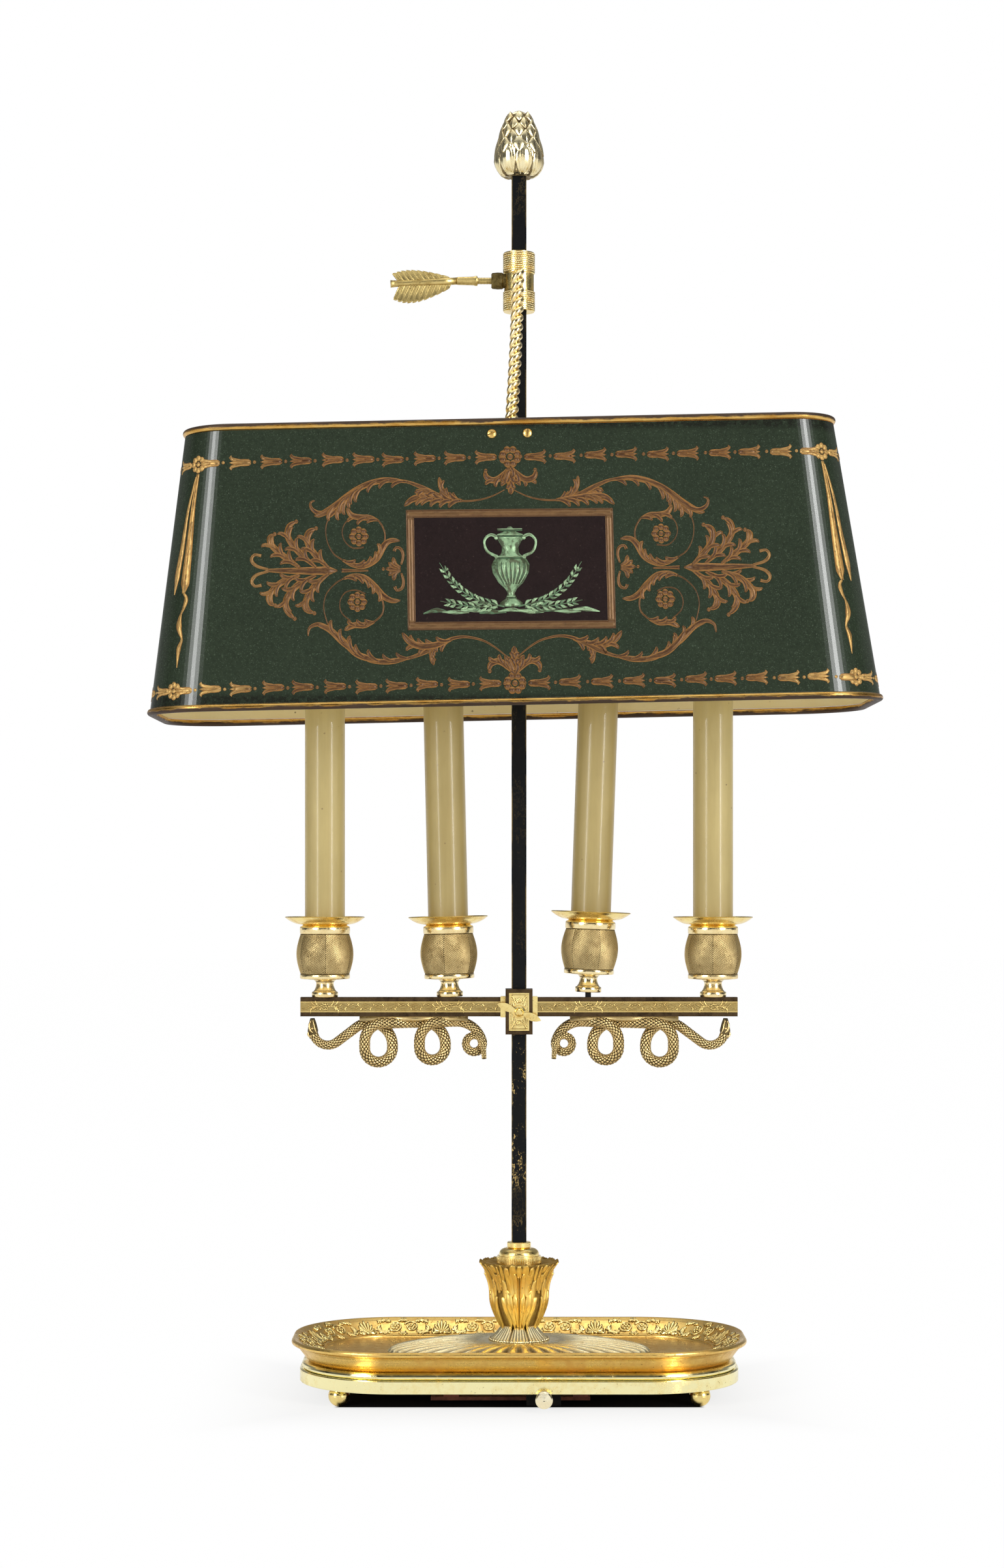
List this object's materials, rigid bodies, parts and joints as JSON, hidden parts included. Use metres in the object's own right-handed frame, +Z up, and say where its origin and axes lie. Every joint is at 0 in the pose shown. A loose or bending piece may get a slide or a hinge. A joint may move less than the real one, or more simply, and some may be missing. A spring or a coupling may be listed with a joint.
{
  "type": "bouillotte lamp",
  "caption": "Table lamp with candle lights on a sliding arm under a sliding flared oblong metal shade, on a square rod over an oval-cornered tray base with ball feet.",
  "frame": {"origin": "centre of the base on the table, under the rod", "axes": "+Z up the rod, +X along the arms to the right, -Y towards the front, where the arm of the shade and the wing screw are"},
  "size_m": [0.4321, 0.1556, 0.77],
  "materials": {
    "gilt_brass": "bright burnished gilding with worn hollows",
    "deep_gilt": "deeper orange gilding, satin",
    "antique_gilt": "pale antique gilding with dark hollows",
    "plain_brass": "polished plain brass",
    "olive_brass": "olive antique brass",
    "dark_bronze": "dark patinated bronze",
    "worn_gilt_edge": "gilt wired edge worn to the dark ground",
    "black_iron": "black patinated, gilding worn to traces on the edges",
    "green_lacquer": "glossy dark green lacquer outside, cream-tan inside",
    "mahogany": "plain reddish mahogany",
    "fibre_board": "reddish brown fibre board",
    "bakelite": "dark moulded switch body",
    "candle_cream": "cream candle sleeve",
    "holder_plastic": "off-white lampholder",
    "bulb_glass": "clear glass candle bulb"
  },
  "bodies": {
    "stand": {"ball_feet": "gilt_brass", "plinth_band": "gilt_brass", "tray": "gilt_brass", "tray_screws": "plain_brass", "gadrooned_mound": "gilt_brass", "leaf_skirt": "gilt_brass", "leaf_vase": "deep_gilt", "knurled_ring": "gilt_brass", "dome_nut": "gilt_brass", "stem_collar": "gilt_brass", "rod": "black_iron", "tie_nut": "plain_brass", "finial": "gilt_brass", "cover_blocks": "mahogany", "cover_board": "fibre_board", "cover_screws": "plain_brass", "switch_body": "bakelite"},
    "shade": {"shade_collar": "gilt_brass", "key_boss": "dark_bronze", "twisted_arm": "gilt_brass", "shade_bracket": "plain_brass", "shade_shell": "green_lacquer", "top_bead": "worn_gilt_edge", "bottom_bead": "worn_gilt_edge", "shade_screws": "plain_brass", "shade_nuts": "plain_brass"},
    "shade_pad": {"key_pad": "plain_brass"},
    "shade_key": {"feather_key": "olive_brass"},
    "arms": {"slider_block": "dark_bronze", "block_plaque": "gilt_brass", "end_blocks": "gilt_brass", "arm_bar_left": "dark_bronze", "arm_bar_right": "dark_bronze", "frieze_left": "antique_gilt", "frieze_right": "antique_gilt", "serpent_left": "antique_gilt", "serpent_right": "antique_gilt", "cup_studs": "black_iron", "candle_cup_1": "antique_gilt", "candle_cup_2": "antique_gilt", "candle_cup_3": "antique_gilt", "candle_cup_4": "antique_gilt", "drip_pan_1": "gilt_brass", "drip_pan_2": "gilt_brass", "drip_pan_3": "gilt_brass", "drip_pan_4": "gilt_brass", "candle_sleeve_1": "candle_cream", "candle_sleeve_2": "candle_cream", "candle_sleeve_3": "candle_cream", "candle_sleeve_4": "candle_cream", "lampholders": "holder_plastic", "bulb_1": "bulb_glass", "bulb_2": "bulb_glass", "bulb_3": "bulb_glass", "bulb_4": "bulb_glass"},
    "arm_pad": {"wing_pad": "plain_brass"},
    "arm_key": {"wing_screw": "gilt_brass"},
    "switch": {"switch_knob": "plain_brass"}
  },
  "joints": [
    {"name": "shade_height", "type": "slide", "parent": "stand", "child": "shade", "axis": [0, 0, 1], "range_m": [-0.06, 0.04]},
    {"name": "shade_pad_slide", "type": "slide", "parent": "shade", "child": "shade_pad", "axis": [-1, 0, 0], "range_m": [0, 0.00165]},
    {"name": "shade_key_turn", "type": "hinge", "parent": "shade_pad", "child": "shade_key", "pos_m": [-0.03, 0, 0.66751], "axis": [-1, 0, 0], "range_deg": [0, 720]},
    {"name": "arm_height", "type": "slide", "parent": "stand", "child": "arms", "axis": [0, 0, 1], "range_m": [-0.11, 0.04]},
    {"name": "arm_pad_slide", "type": "slide", "parent": "arms", "child": "arm_pad", "axis": [0, -1, 0], "range_m": [0, 0.00165]},
    {"name": "wing_screw_turn", "type": "hinge", "parent": "arm_pad", "child": "arm_key", "pos_m": [0, -0.012, 0.22885], "axis": [0, -1, 0], "range_deg": [0, 720]},
    {"name": "switch_turn", "type": "hinge", "parent": "stand", "child": "switch", "pos_m": [0.014, -0.07, 0.008], "axis": [0, -1, 0], "continuous": true}
  ],
  "couplings": [
    {"joint": "shade_pad_slide", "follows": "shade_key_turn", "m_per_rad": 0.00012732},
    {"joint": "arm_pad_slide", "follows": "wing_screw_turn", "m_per_rad": 0.00012732}
  ]
}
